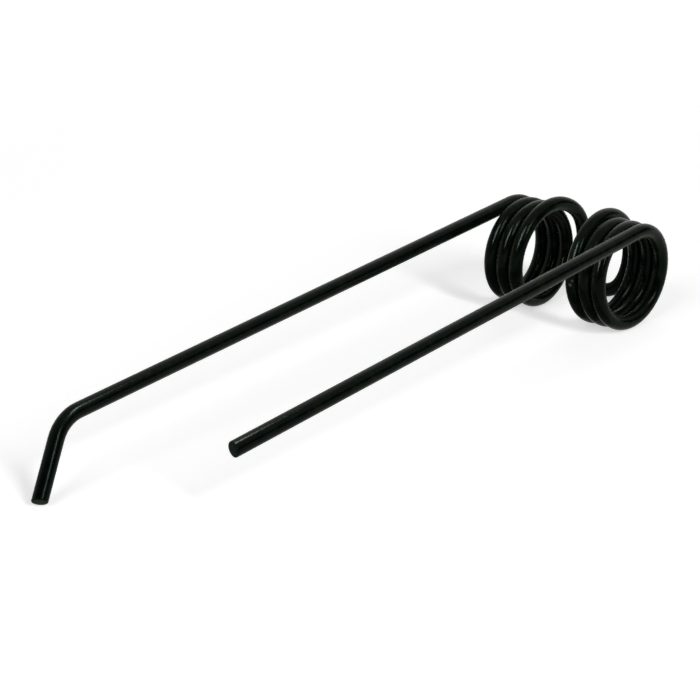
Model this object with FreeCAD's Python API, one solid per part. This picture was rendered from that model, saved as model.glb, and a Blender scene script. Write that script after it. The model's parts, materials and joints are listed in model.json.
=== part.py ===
"""Double-coil tedder tine, bent from one length of round spring wire.

The wire runs: bent tip, long leg, helical coil, U-shaped bridge, mirrored helical
coil, straight leg.  Millimetres.  The coil axis is X, the legs point towards -Y and
Z is up, with the tine lying at rest on its coils and on the end of its bent tip.
"""
import FreeCAD, Part
import math
import os

V = FreeCAD.Vector

# wire
WIRE_DIA = 9.0                 # round spring wire
SHEAR_SLANT_DEG = 13.0         # the two sheared ends face inwards by this much
END_ROUNDING = 0.7             # softened rim of the two sheared ends

# coils
COIL_MEAN_RADIUS = 29.75       # to the middle of the wire
TURNS = 3                      # full turns from the leg to the innermost top pass
TURN_PITCH = 9.8               # leaves 0.8 mm between neighbouring turns
INNER_PASS_OFFSET = 19.8       # innermost top pass to the middle plane

# legs
LONG_LEG = 367.6               # coil top to the start of the tip bend
SHORT_LEG = 353.5              # coil top to the sheared end
LEG_SPREAD_DEG = 0.3           # each leg leans outwards by this much
LEG_EASING = 16.0              # run after the coil top that eases the wire into the coil's pitch

# bent tip of the long leg
TIP_BEND_RADIUS = 25.3         # to the middle of the wire
TIP_BEND_DEG = 50.0            # turned away from the line of the leg
TIP_INWARD_DEG = 17.8          # the bend turns down and this much inwards, about the leg's line
TIP_STRAIGHT = 34.5            # straight length after the bend

# the last part of each coil opens out towards the bridge
OPENING_START_DEG = 69.0       # before the innermost top pass
OPENING_AT_TOP = 2.6           # how far the innermost top pass stands proud
LEAVE_COIL_DEG = 55.0          # past the top, where the bridge begins

# U-shaped bridge behind the coils
BRIDGE_LOW_Y = 31.3            # lowest point of the U, behind the coil axis
BRIDGE_LOW_Z = -29.7           # lowest point of the U, below the coil axis
BRIDGE_UPPER_REACH = 21.5      # how far the wire runs on in the line of the coil
BRIDGE_LOWER_REACH = 21.6      # half length of the flat of the U, before it curls up

# fineness of the wire's middle line
POINTS_PER_TURN = 24
BRIDGE_POINTS = 9
SKIN_PATCH_COUNT = 14          # the coiled part's skin is made in this many lengths

WIRE_RADIUS = WIRE_DIA / 2.0
FULL_ANGLE = 2.0 * math.pi * TURNS
COIL_SLOPE = -TURN_PITCH / (2.0 * math.pi * COIL_MEAN_RADIUS)
LEG_SLOPE = math.tan(math.radians(LEG_SPREAD_DEG))


def eased_area(t):
    """The area under a smooth step from 0 to 1, up to t."""
    if t <= 0.0:
        return 0.0
    if t >= 1.0:
        return 0.5 + (t - 1.0)
    return t ** 3 - 0.5 * t ** 4


def sideways(along):
    """Distance from the middle plane at a run along the wire, 0 at the coil top."""
    start = INNER_PASS_OFFSET + TURN_PITCH * TURNS
    at_top = start + (COIL_SLOPE - LEG_SLOPE) * LEG_EASING / 2.0
    bent = (COIL_SLOPE - LEG_SLOPE) * LEG_EASING * eased_area(along / LEG_EASING)
    return at_top + LEG_SLOPE * along + bent


def coil_radius(angle):
    """Radius of the wire's middle line; it opens out towards the bridge."""
    opening = math.radians(OPENING_START_DEG)
    t = max((angle - FULL_ANGLE + opening) / opening, 0.0)
    growth = t * t if t < 1.0 else 2.0 * t - 1.0
    return COIL_MEAN_RADIUS + OPENING_AT_TOP * growth


def coil_point(angle):
    """A point of the right-hand coil, angle 0 at the top where the leg comes in."""
    radius = coil_radius(angle)
    x = sideways(angle * COIL_MEAN_RADIUS)
    return V(x, radius * math.sin(angle), radius * math.cos(angle))


def mirrored(point):
    return V(-point.x, point.y, point.z)


def right_half():
    """Points from the right leg's coil end, round the coil, to the U's lowest point."""
    points = []
    leave = FULL_ANGLE + math.radians(LEAVE_COIL_DEG)
    count = int(round(POINTS_PER_TURN * leave / (2.0 * math.pi)))
    for i in range(count + 1):
        points.append(coil_point(leave * i / count))
    step = 1e-4
    heading = (coil_point(leave) - coil_point(leave - step)).normalize()
    low = V(0.0, BRIDGE_LOW_Y, BRIDGE_LOW_Z)
    bend = Part.BezierCurve()
    bend.setPoles([
        points[-1],
        points[-1] + heading * BRIDGE_UPPER_REACH,
        low + V(BRIDGE_LOWER_REACH, 0.0, 0.0),
        low,
    ])
    for i in range(1, BRIDGE_POINTS + 1):
        points.append(bend.value(i / BRIDGE_POINTS))
    return points


def coiled_line():
    """Points and headings of the wire's middle line from one leg's coil end to the other's."""
    right = right_half()
    spine = [mirrored(p) for p in right] + right[-2::-1]
    lean = math.radians(LEG_SPREAD_DEG)
    out_right = V(math.sin(lean), -math.cos(lean), 0.0)
    out_left = mirrored(out_right)
    line = Part.BSplineCurve()
    line.interpolate(Points=spine, InitialTangent=out_left * -1.0, FinalTangent=out_right, Scale=False)
    marks = line.getKnots()
    return [line.value(u) for u in marks], [line.tangent(u)[0] for u in marks], marks, out_left, out_right


def round_tube(points, headings, marks):
    """A smooth round skin along the points, with a flat disc at each end."""
    half = math.sqrt(0.5)
    corners = [(1, 0), (1, 1), (0, 1), (-1, 1), (-1, 0), (-1, -1), (0, -1), (1, -1)]
    sideways_on = V(0.0, 0.0, 1.0)
    rails = [[] for _ in corners]
    for point, heading in zip(points, headings):
        sideways_on = (sideways_on - heading * sideways_on.dot(heading)).normalize()
        across = heading.cross(sideways_on)
        for rail, (a, b) in zip(rails, corners):
            rail.append(point + (sideways_on * a + across * b) * WIRE_RADIUS)
    curves = []
    for rail in rails:
        curve = Part.BSplineCurve()
        curve.interpolate(Points=rail, Parameters=marks,
                          InitialTangent=headings[0], FinalTangent=headings[-1], Scale=False)
        curves.append(curve)
    curves.append(curves[0])
    poles = [list(row) for row in zip(*[curve.getPoles() for curve in curves])]
    weights = [[1.0, half] * 4 + [1.0] for _ in poles]
    skin = Part.BSplineSurface()
    skin.buildFromPolesMultsKnots(
        poles, curves[0].getMultiplicities(), [3, 2, 2, 2, 3], curves[0].getKnots(),
        [0.0, 0.25, 0.5, 0.75, 1.0], False, False, 3, 2, weights)
    steps = [round(i * (len(marks) - 1) / SKIN_PATCH_COUNT) for i in range(SKIN_PATCH_COUNT + 1)]
    faces = []
    for first, last in zip(steps, steps[1:]):
        length = skin.copy()
        length.segment(marks[first], marks[last], 0.0, 1.0)
        faces.append(length.toShape())
    for point, heading in ((points[0], headings[0]), (points[-1], headings[-1])):
        faces.append(Part.Face(Part.Wire([Part.Circle(point, heading, WIRE_RADIUS).toShape()])))
    shell = Part.Shell(faces)
    shell.sewShape()
    return Part.Solid(shell)


def straight(start, heading, length):
    return Part.makeCylinder(WIRE_RADIUS, length, start, heading)


def sheared(body, end, heading):
    """Cut off the wire at a slant that faces the middle plane, and soften the rim."""
    inwards = V(-end.x, 0.0, 0.0)
    inwards = (inwards - heading * inwards.dot(heading)).normalize()
    slant = math.radians(SHEAR_SLANT_DEG)
    facing = heading * math.cos(slant) + inwards * math.sin(slant)
    body = body.cut(Part.makeCylinder(WIRE_DIA, WIRE_DIA, end, facing))
    flats = [
        face for face in body.Faces
        if face.Surface.TypeId == "Part::GeomPlane" and (face.CenterOfMass - end).Length < WIRE_RADIUS / 4.0
    ]
    return body.makeFillet(END_ROUNDING, flats[0].Edges)


def make_wire():
    points, headings, marks, out_left, out_right = coiled_line()
    coiled = round_tube(points, headings, marks)
    if coiled.Volume < 0.0:
        coiled.reverse()

    lean_in = math.radians(TIP_INWARD_DEG)
    inwards = out_left.cross(V(0.0, 0.0, 1.0)) * -1.0
    turned_to = V(0.0, 0.0, -math.cos(lean_in)) + inwards * math.sin(lean_in)
    bend_start = points[0] + out_left * LONG_LEG
    bend_axis = out_left.cross(turned_to).normalize()
    bend_centre = bend_start + turned_to * TIP_BEND_RADIUS
    disc = Part.Face(Part.Wire([Part.Circle(bend_start, out_left, WIRE_RADIUS).toShape()]))
    bend = disc.revolve(bend_centre, bend_axis, TIP_BEND_DEG)
    turn = FreeCAD.Rotation(bend_axis, TIP_BEND_DEG)
    tip_heading = turn.multVec(out_left)
    tip_start = bend_centre + turn.multVec(bend_start - bend_centre)
    tip_end = tip_start + tip_heading * TIP_STRAIGHT
    short_end = points[-1] + out_right * SHORT_LEG

    body = coiled.fuse([
        straight(points[0], out_left, LONG_LEG),
        bend,
        straight(tip_start, tip_heading, TIP_STRAIGHT + WIRE_RADIUS),
        straight(points[-1], out_right, SHORT_LEG + WIRE_RADIUS),
    ])
    body = sheared(body, short_end, out_right)
    return sheared(body, tip_end, tip_heading), tip_end


def resting_tilt(body, tip_end):
    """The turn about X that sets the coils and the rim of the tip on one floor."""
    floor = -COIL_MEAN_RADIUS - WIRE_RADIUS
    rim = Part.Compound([face for face in body.Faces if (face.CenterOfMass - tip_end).Length < WIRE_DIA])
    low, high = 0.0, 30.0
    while high - low > 1e-5:
        tilt = (low + high) / 2.0
        turned = rim.copy()
        turned.rotate(V(0.0, 0.0, 0.0), V(1.0, 0.0, 0.0), tilt)
        if turned.optimalBoundingBox(False, False).ZMin > floor:
            low = tilt
        else:
            high = tilt
    return low


def laid_down(shape, tilt):
    """Turn the tine to its resting pose and set its box's bottom centre on the origin."""
    shape.rotate(V(0.0, 0.0, 0.0), V(1.0, 0.0, 0.0), tilt)
    box = Part.Compound([shape]).optimalBoundingBox(False, False)
    shape.translate(V(-box.Center.x, -box.Center.y, -box.ZMin))
    return shape


tine, tip = make_wire()
tilt = resting_tilt(tine, tip)
tine = laid_down(tine, tilt)

os.makedirs("parts", exist_ok=True)
tine.exportStep("parts/spring_tine.step")

bounds = tine.BoundBox
print("valid", tine.isValid(), "solids", len(tine.Solids), "volume cm3", round(tine.Volume / 1000.0, 2))
print("tilt", round(tilt, 3), "box", [round(v, 2) for v in
      (bounds.XMin, bounds.YMin, bounds.ZMin, bounds.XMax, bounds.YMax, bounds.ZMax)])
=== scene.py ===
"""Looks of the tedder tine: its black paint, and a pale studio around it.

The wire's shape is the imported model's own.  This file paints it, with the mottling and
the fine ripple of the paint, the dull sheared ends and two small chips, and sets up the
floor, the backdrop, the lights and the camera.  Lengths are in metres.
"""

import json
import math

import bpy
from bpy.props import FloatProperty, FloatVectorProperty, PointerProperty
from bpy.types import Operator, Panel, PropertyGroup
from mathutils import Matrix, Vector

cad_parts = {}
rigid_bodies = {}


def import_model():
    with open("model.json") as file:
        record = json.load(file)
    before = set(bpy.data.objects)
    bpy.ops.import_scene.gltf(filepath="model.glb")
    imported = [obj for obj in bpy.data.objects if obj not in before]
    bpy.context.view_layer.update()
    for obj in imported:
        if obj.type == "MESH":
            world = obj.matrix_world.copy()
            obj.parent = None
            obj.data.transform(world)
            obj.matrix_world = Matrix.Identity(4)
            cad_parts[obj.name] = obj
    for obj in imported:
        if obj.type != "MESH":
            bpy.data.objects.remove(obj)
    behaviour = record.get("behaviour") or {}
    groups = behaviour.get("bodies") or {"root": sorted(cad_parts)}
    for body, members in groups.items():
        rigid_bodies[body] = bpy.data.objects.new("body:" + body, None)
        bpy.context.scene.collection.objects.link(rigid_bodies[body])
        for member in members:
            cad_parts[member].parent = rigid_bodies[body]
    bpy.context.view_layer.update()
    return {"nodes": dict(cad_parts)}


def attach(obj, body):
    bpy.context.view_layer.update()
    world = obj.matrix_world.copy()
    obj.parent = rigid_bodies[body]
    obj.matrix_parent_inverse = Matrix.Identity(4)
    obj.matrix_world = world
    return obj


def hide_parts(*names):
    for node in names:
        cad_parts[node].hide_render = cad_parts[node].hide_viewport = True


bl_info = {
    "name": "Tedder Tine",
    "version": (1, 0, 0),
    "blender": (4, 5, 0),
    "location": "3D View > Sidebar > Tedder Tine",
    "description": "Paints a double-coil tedder tine and sets up a pale studio around it",
    "category": "Object",
}

for spare in list(bpy.data.objects):
    bpy.data.objects.remove(spare)
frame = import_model()
TINE = frame["nodes"]["spring_tine"]
WIRE = "painted_wire"
COILS = Vector((0.0, 0.185, 0.034))     # middle of the coils' axis

# fineness of the paint's patches; a larger number makes them smaller
THIN_PATCHES = 130.0
COOL_PATCHES = 38.0
SPECKLES = 900.0
RIPPLES = 420.0

# gloss of the paint, the same all over
GLOSS_LEVEL = 0.050
GLOSS_TINT = (0.76, 1.0, 0.80, 1.0)
SHEEN_WEIGHT = 0.18
SHEEN_ROUGHNESS = 0.30
SHEEN_TINT = (0.70, 1.0, 0.55, 1.0)

# small marks on the innermost turn of the right-hand coil: place and radius
CHIPS = (
    ("Larger chip", (0.0234, 0.1511, 0.0334), 0.0014),
    ("Smaller chip", (0.0245, 0.1516, 0.0361), 0.0010),
)

# the sheared faces: the way each one faces, and the stretch along Y over which it begins
SHEARED_FACES = (
    ("Short leg's end", (-0.220, -0.972, -0.065), -0.1640, -0.1655),
    ("Tip's end", (0.444, -0.546, -0.710), -0.2155, -0.2170),
)
FACING_NEARLY, FACING_FULLY = 0.88, 0.96    # cosines of the angle to the way a face looks

# where the softboxes' light falls on the floor, and how far off its glow takes over
LIT_SPOT = (0.6, -0.6, 0.0)
GLOW_NEAR, GLOW_FAR = 0.8, 4.0

WHITE = (1.0, 1.0, 1.0, 1.0)
MIX_COLOURS, MIX_RESULT = (6, 7), 2     # a Mix node's sockets when it mixes colours


class SkinSettings(PropertyGroup):
    """How the skin of the bare wire is joined up before it is painted."""

    join_distance: FloatProperty(
        name="Join distance", description="Corners of the skin closer than this become one",
        subtype="DISTANCE", unit="LENGTH", min=0.0, max=0.0001, default=0.000001, precision=6)
    crease_angle: FloatProperty(
        name="Crease angle", description="Edges sharper than this stay crisp, as round the sheared ends",
        subtype="ANGLE", unit="ROTATION", min=0.0, max=math.pi, default=math.radians(35.0))


class PaintSettings(PropertyGroup):
    """The colours and the texture of the paint on the wire."""

    dark_coat: FloatVectorProperty(
        name="Dark coat", description="Main colour of the paint",
        subtype="COLOR", size=3, min=0.0, max=1.0, default=(0.0006, 0.0016, 0.0014))
    olive_coat: FloatVectorProperty(
        name="Olive coat", description="Colour where the paint lies thin and looks olive",
        subtype="COLOR", size=3, min=0.0, max=1.0, default=(0.0042, 0.0058, 0.0026))
    cool_coat: FloatVectorProperty(
        name="Cool coat", description="Colour of the blue-green clouds in the paint",
        subtype="COLOR", size=3, min=0.0, max=1.0, default=(0.0006, 0.0024, 0.0026))
    end_grey: FloatVectorProperty(
        name="End grey", description="Colour of the sheared ends, where the paint is thin over steel",
        subtype="COLOR", size=3, min=0.0, max=1.0, default=(0.0130, 0.0190, 0.0180))
    chip_grey: FloatVectorProperty(
        name="Chip grey", description="Colour of the small pale marks knocked into the paint",
        subtype="COLOR", size=3, min=0.0, max=1.0, default=(0.050, 0.058, 0.052))
    gloss_roughness: FloatProperty(
        name="Roughness", description="Roughness of clean paint",
        subtype="FACTOR", min=0.0, max=1.0, default=0.20)
    peel_height: FloatProperty(
        name="Peel height", description="Height of the fine ripple in the dried paint",
        subtype="DISTANCE", unit="LENGTH", min=0.0, max=0.001, default=0.00008)


class StudioSettings(PropertyGroup):
    """The floor, the lights and the camera."""

    floor_size: FloatProperty(
        name="Floor size", description="Side of the square floor",
        subtype="DISTANCE", unit="LENGTH", min=1.0, max=40.0, default=12.0)
    floor_colour: FloatVectorProperty(
        name="Floor colour", description="Colour of the floor",
        subtype="COLOR", size=3, min=0.0, max=1.0, default=(0.80, 0.80, 0.80))
    sky_level: FloatProperty(
        name="Sky level", description="Strength of the even light from all round",
        min=0.0, max=2.0, default=0.06)
    right_power: FloatProperty(
        name="Right softbox", description="Power of the tall softbox on the short leg's side, in watts",
        min=0.0, max=500.0, default=90.0)
    left_power: FloatProperty(
        name="Left softbox", description="Power of the square softbox over the legs' side, in watts",
        min=0.0, max=500.0, default=44.0)
    back_power: FloatProperty(
        name="Back softbox", description="Power of the wide softbox behind the coils, in watts",
        min=0.0, max=500.0, default=10.0)
    strip_glow: FloatProperty(
        name="Strip glow", description="Strength of the narrow strip that shows in the gloss of the coils",
        min=0.0, max=200.0, default=60.0)
    camera_place: FloatVectorProperty(
        name="Camera place", description="Where the camera stands",
        subtype="TRANSLATION", unit="LENGTH", size=3, default=(0.76965, -0.86842, 0.48390))
    camera_turn: FloatVectorProperty(
        name="Camera turn", description="Turn of the camera about X, Y and Z",
        subtype="EULER", unit="ROTATION", size=3,
        default=(math.radians(68.664), math.radians(1.049), math.radians(41.973)))
    camera_lens: FloatProperty(
        name="Lens", description="Focal length on a sensor 36 mm wide, in millimetres",
        min=10.0, max=400.0, default=111.57)


def new_material(name):
    """A new material, with its node tree and its shader."""
    material = bpy.data.materials.new(name)
    material.use_nodes = True
    return material, material.node_tree, material.node_tree.nodes["Principled BSDF"]


def set_sockets(shader, values):
    """Sets a shader's own sockets by their names."""
    for name, value in values.items():
        shader.inputs[name].default_value = value


def add_node(tree, kind, label, **settings):
    """A new node with its label, its properties and its unlinked inputs set."""
    node = tree.nodes.new(kind)
    node.label = label
    for name, value in settings.items():
        if hasattr(node, name):
            setattr(node, name, value)
        else:
            node.inputs[name.replace("_", " ").title()].default_value = value
    return node


def cloud(tree, place, label, scale, detail=2.0, roughness=0.5):
    """Noise on the tine's own coordinates, from 0 to 1."""
    noise = add_node(tree, "ShaderNodeTexNoise", label, scale=scale, detail=detail, roughness=roughness)
    tree.links.new(place, noise.inputs["Vector"])
    return noise.outputs["Fac"]


def between(tree, value, label, low, high, to_low=0.0, to_high=1.0):
    """Carries a value's range low..high smoothly over to another range."""
    ramp = add_node(tree, "ShaderNodeMapRange", label, interpolation_type="SMOOTHSTEP")
    for name, number in (("From Min", low), ("From Max", high), ("To Min", to_low), ("To Max", to_high)):
        ramp.inputs[name].default_value = number
    tree.links.new(value, ramp.inputs["Value"])
    return ramp.outputs["Result"]


def combine(tree, operation, label, first, second):
    """A Math node; each operand is a socket or a number."""
    node = add_node(tree, "ShaderNodeMath", label, operation=operation)
    for socket, operand in zip(node.inputs, (first, second)):
        if isinstance(operand, (int, float)):
            socket.default_value = operand
        else:
            tree.links.new(operand, socket)
    return node.outputs[0]


def compare(tree, operation, label, vector, fixed):
    """A number from a vector and a fixed one: their DISTANCE or their DOT_PRODUCT."""
    node = add_node(tree, "ShaderNodeVectorMath", label, operation=operation)
    tree.links.new(vector, node.inputs[0])
    node.inputs[1].default_value = fixed
    return node.outputs["Value"]


def tint(tree, label, share, under, over):
    """Mixes two colours; each is a socket or a property's colour."""
    node = add_node(tree, "ShaderNodeMix", label, data_type="RGBA")
    tree.links.new(share, node.inputs["Factor"])
    for index, colour in zip(MIX_COLOURS, (under, over)):
        if hasattr(colour, "is_output"):
            tree.links.new(colour, node.inputs[index])
        else:
            node.inputs[index].default_value = (*colour, 1.0)
    return node.outputs[MIX_RESULT]


class TEDDER_OT_join_skin(Operator):
    """Copy the bare wire and join up its skin, so that light runs smoothly all round it"""

    bl_idname = "tedder.join_skin"
    bl_label = "Join up the skin"

    def execute(self, context):
        skin = context.scene.tine_skin
        wire = bpy.data.objects.new(WIRE, TINE.data.copy())
        context.scene.collection.objects.link(wire)
        bpy.ops.object.select_all(action="DESELECT")
        wire.select_set(True)
        context.view_layer.objects.active = wire
        bpy.ops.mesh.customdata_custom_splitnormals_clear()
        bpy.ops.object.mode_set(mode="EDIT")
        bpy.ops.mesh.select_all(action="SELECT")
        bpy.ops.mesh.remove_doubles(threshold=skin.join_distance)
        bpy.ops.object.mode_set(mode="OBJECT")
        bpy.ops.object.shade_smooth_by_angle(angle=skin.crease_angle)
        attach(wire, "root")
        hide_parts("spring_tine")
        return {"FINISHED"}


class TEDDER_OT_paint_wire(Operator):
    """Paint the wire black, mottled and finely rippled, with grey sheared ends and a few chips"""

    bl_idname = "tedder.paint_wire"
    bl_label = "Paint the wire"

    def execute(self, context):
        paint = context.scene.tine_paint
        material, tree, shader = new_material("Black tine paint")
        place = add_node(tree, "ShaderNodeTexCoord", "Tine coordinates").outputs["Object"]
        speckle = cloud(tree, place, "Speckle", SPECKLES, 2.0, 0.6)
        ends = self.sheared_ends(tree, place)

        colour = self.mottled_colour(tree, place, paint)
        colour = tint(tree, "Chips", self.chips(tree, place), colour, paint.chip_grey)
        patchy = between(tree, speckle, "Patchy ends", 0.35, 0.65, 0.40, 1.0)
        patchy = combine(tree, "MULTIPLY", "Patchy grey on the ends", ends, patchy)
        colour = tint(tree, "Grey ends", patchy, colour, paint.end_grey)
        tree.links.new(colour, shader.inputs["Base Color"])

        uneven = between(tree, speckle, "Uneven gloss", 0.3, 0.7, -0.05, 0.07)
        rough = combine(tree, "ADD", "Roughness", uneven, paint.gloss_roughness)
        torn = between(tree, ends, "Torn steel", 0.0, 1.0, 0.0, 0.70)
        rough = combine(tree, "ADD", "Rougher ends", rough, torn)
        tree.links.new(rough, shader.inputs["Roughness"])

        ripple = cloud(tree, place, "Ripple", RIPPLES, 3.0, 0.55)
        bump = add_node(tree, "ShaderNodeBump", "Paint ripple", strength=1.0, distance=paint.peel_height)
        tree.links.new(ripple, bump.inputs["Height"])
        tree.links.new(bump.outputs["Normal"], shader.inputs["Normal"])

        set_sockets(shader, {
            "Specular IOR Level": GLOSS_LEVEL, "Specular Tint": GLOSS_TINT,
            "Sheen Weight": SHEEN_WEIGHT, "Sheen Roughness": SHEEN_ROUGHNESS, "Sheen Tint": SHEEN_TINT,
        })
        bpy.data.objects[WIRE].material_slots[0].material = material
        return {"FINISHED"}

    def mottled_colour(self, tree, place, paint):
        """The dark coat with its olive and blue-green clouds."""
        thin = cloud(tree, place, "Thin paint", THIN_PATCHES, 5.0, 0.72)
        thin = between(tree, thin, "Thin paint share", 0.44, 0.68)
        cool = cloud(tree, place, "Cool clouds", COOL_PATCHES, 3.0)
        cool = between(tree, cool, "Cool share", 0.50, 0.72)
        colour = tint(tree, "Olive clouds", thin, paint.dark_coat, paint.olive_coat)
        return tint(tree, "Blue-green clouds", cool, colour, paint.cool_coat)

    def chips(self, tree, place):
        """1 on the small marks, 0 elsewhere."""
        marks = 0.0
        for label, centre, radius in CHIPS:
            away = compare(tree, "DISTANCE", label, place, centre)
            mark = between(tree, away, label + " share", radius, radius * 0.5)
            marks = combine(tree, "MAXIMUM", "Chips so far", mark, marks)
        return marks

    def sheared_ends(self, tree, place):
        """1 on the two flat sheared faces of the wire, 0 elsewhere."""
        axes = add_node(tree, "ShaderNodeSeparateXYZ", "Place along the legs")
        tree.links.new(place, axes.inputs["Vector"])
        normal = add_node(tree, "ShaderNodeTexCoord", "Facing").outputs["Normal"]
        ends = 0.0
        for label, facing, before, beyond in SHEARED_FACES:
            flat = compare(tree, "DOT_PRODUCT", label + " facing", normal, facing)
            flat = between(tree, flat, label + " is flat", FACING_NEARLY, FACING_FULLY)
            outer = between(tree, axes.outputs["Y"], label + " reached", before, beyond)
            end = combine(tree, "MULTIPLY", label, flat, outer)
            ends = combine(tree, "MAXIMUM", "Ends so far", end, ends)
        return ends


def seen_white(tree, ambient):
    """A strength that is 1 for what the camera and glossy things see, and ambient for the rest."""
    path = add_node(tree, "ShaderNodeLightPath", "Who looks").outputs
    seen = combine(tree, "MAXIMUM", "Camera or gloss", path["Is Camera Ray"], path["Is Glossy Ray"])
    seen = combine(tree, "MAXIMUM", "Camera, gloss or glass", seen, path["Is Transmission Ray"])
    return between(tree, seen, "Strength", 0.0, 1.0, ambient, 1.0)


def from_coils(azimuth, elevation, distance):
    """A point seen from the coils: azimuth 0 is over the legs and 90 is over the short leg's side."""
    turn, rise = math.radians(azimuth), math.radians(elevation)
    level = math.cos(rise)
    return COILS + Vector((math.sin(turn) * level, -math.cos(turn) * level, math.sin(rise))) * distance


def aimed_at_coils(thing, place):
    """Puts a light or a card at a point and turns its face to the coils."""
    thing.location = place
    thing.rotation_euler = (COILS - place).to_track_quat("-Z", "Y").to_euler()


def softbox(name, power, width, height, place):
    """A soft rectangular light that faces the coils."""
    bpy.ops.object.light_add(type="AREA")
    lamp = bpy.context.object
    lamp.name = name
    lamp.data.shape = "RECTANGLE"
    lamp.data.size, lamp.data.size_y = width, height
    lamp.data.energy = power
    aimed_at_coils(lamp, place)
    return lamp


def plain(name, grey, glow=0.0):
    """A flat, even material for a card: a shade of grey, or a glow."""
    material, _, shader = new_material(name)
    set_sockets(shader, {
        "Base Color": (grey, grey, grey, 1.0), "Roughness": 1.0, "Specular IOR Level": 0.0,
        "Emission Color": WHITE, "Emission Strength": glow,
    })
    return material


def card(name, width, height, place, material, lies_flat=False):
    """A card that shows only in the gloss of the paint; it faces the coils or lies flat."""
    bpy.ops.object.select_all(action="DESELECT")
    bpy.ops.mesh.primitive_plane_add(size=1.0)
    plane = bpy.context.object
    plane.name = name
    plane.scale = (width, height, 1.0)
    if lies_flat:
        plane.location = place
    else:
        aimed_at_coils(plane, place)
    plane.data.materials.append(material)
    plane.visible_camera = plane.visible_diffuse = False
    plane.visible_shadow = plane.visible_transmission = False


class TEDDER_OT_set_studio(Operator):
    """Set up the pale floor and backdrop, the soft lights and the camera"""

    bl_idname = "tedder.set_studio"
    bl_label = "Set up the studio"

    def execute(self, context):
        studio = context.scene.tine_studio
        self.lay_floor(studio)
        self.set_world(context.scene, studio)
        self.set_lights(studio)
        self.stand_cards(studio)
        self.set_camera(context.scene, studio)
        context.scene.view_settings.view_transform = "Standard"
        return {"FINISHED"}

    def lay_floor(self, studio):
        """A matt floor that the camera sees as white, also where the softboxes' light fades."""
        bpy.ops.object.select_all(action="DESELECT")
        bpy.ops.mesh.primitive_plane_add(size=studio.floor_size, location=(0.0, 0.0, 0.0))
        floor = bpy.context.object
        floor.name = "studio_floor"
        material, tree, shader = new_material("Pale floor")
        set_sockets(shader, {
            "Base Color": (*studio.floor_colour, 1.0), "Roughness": 0.9, "Specular IOR Level": 0.0,
            "Emission Color": WHITE,
        })
        place = add_node(tree, "ShaderNodeTexCoord", "Floor coordinates").outputs["Object"]
        away = compare(tree, "DISTANCE", "Away from the softboxes", place, LIT_SPOT)
        glow = between(tree, away, "Glow where the softboxes fade", GLOW_NEAR, GLOW_FAR, 0.55, 0.97)
        glow = combine(tree, "MULTIPLY", "Glow that is only seen", seen_white(tree, 0.0), glow)
        tree.links.new(glow, shader.inputs["Emission Strength"])
        floor.data.materials.append(material)

    def set_world(self, scene, studio):
        """A white backdrop that sheds only a faint, even light."""
        world = bpy.data.worlds.new("White backdrop")
        world.use_nodes = True
        tree = world.node_tree
        sky = tree.nodes["Background"]
        sky.inputs["Color"].default_value = WHITE
        tree.links.new(seen_white(tree, studio.sky_level), sky.inputs["Strength"])
        scene.world = world

    def set_lights(self, studio):
        """Three softboxes; the left one doesn't show in the gloss, where the strip stands in for it."""
        softbox("Softbox right", studio.right_power, 0.50, 1.90, from_coils(75.0, 34.0, 4.0))
        softbox("Softbox behind", studio.back_power, 2.2, 2.2, from_coils(210.0, 42.0, 3.0))
        left = softbox("Softbox left", studio.left_power, 2.0, 2.0, from_coils(6.0, 38.0, 4.0))
        left.visible_glossy = False

    def stand_cards(self, studio):
        """Dark cards that keep the wire's near side black, a grey card as painted shade on the floor
        before the coils, and a bright strip for its streaks.
        """
        black, grey = plain("Black card", 0.0), plain("Floor shade card", 0.5)
        bright = plain("Bright strip", 0.0, studio.strip_glow)
        card("card_behind_camera", 18.0, 9.0, from_coils(42.0, 20.0, 5.4), black)
        card("card_right", 9.0, 4.4, from_coils(125.0, 5.0, 5.4), black)
        # painted shade: this grey card stands in, in the coils' gloss only, for the floor's shade where
        # the coils meet it
        card("card_before_coils", 0.150, 0.080, Vector((-0.015, 0.125, 0.0004)), grey, lies_flat=True)
        card("strip_left", 0.056, 0.20, from_coils(6.0, 38.0, 0.35), bright)

    def set_camera(self, scene, studio):
        """A long lens at the photo's angle."""
        bpy.ops.object.camera_add(location=studio.camera_place, rotation=studio.camera_turn)
        camera = bpy.context.object
        camera.name = "Photo camera"
        camera.data.sensor_width = 36.0
        camera.data.lens = studio.camera_lens
        camera.data.clip_start, camera.data.clip_end = 0.05, 50.0
        scene.camera = camera


class TEDDER_PT_tine(Panel):
    """Lists the settings and the steps that dress the tine"""

    bl_idname = "TEDDER_PT_tine"
    bl_label = "Tedder Tine"
    bl_space_type = "VIEW_3D"
    bl_region_type = "UI"
    bl_category = "Tedder Tine"

    def draw(self, context):
        for heading, settings, step in (
            ("Skin", context.scene.tine_skin, TEDDER_OT_join_skin),
            ("Paint", context.scene.tine_paint, TEDDER_OT_paint_wire),
            ("Studio", context.scene.tine_studio, TEDDER_OT_set_studio),
        ):
            box = self.layout.box()
            box.label(text=heading)
            for name in settings.bl_rna.properties.keys():
                if name not in ("rna_type", "name"):
                    box.prop(settings, name)
            box.operator(step.bl_idname)


CLASSES = (
    SkinSettings, PaintSettings, StudioSettings,
    TEDDER_OT_join_skin, TEDDER_OT_paint_wire, TEDDER_OT_set_studio, TEDDER_PT_tine,
)


def register():
    for cls in CLASSES:
        bpy.utils.register_class(cls)
    bpy.types.Scene.tine_skin = PointerProperty(type=SkinSettings)
    bpy.types.Scene.tine_paint = PointerProperty(type=PaintSettings)
    bpy.types.Scene.tine_studio = PointerProperty(type=StudioSettings)


def unregister():
    del bpy.types.Scene.tine_skin
    del bpy.types.Scene.tine_paint
    del bpy.types.Scene.tine_studio
    for cls in reversed(CLASSES):
        bpy.utils.unregister_class(cls)


def main():
    register()
    bpy.ops.tedder.join_skin()
    bpy.ops.tedder.paint_wire()
    bpy.ops.tedder.set_studio()


if __name__ == "__main__":
    main()
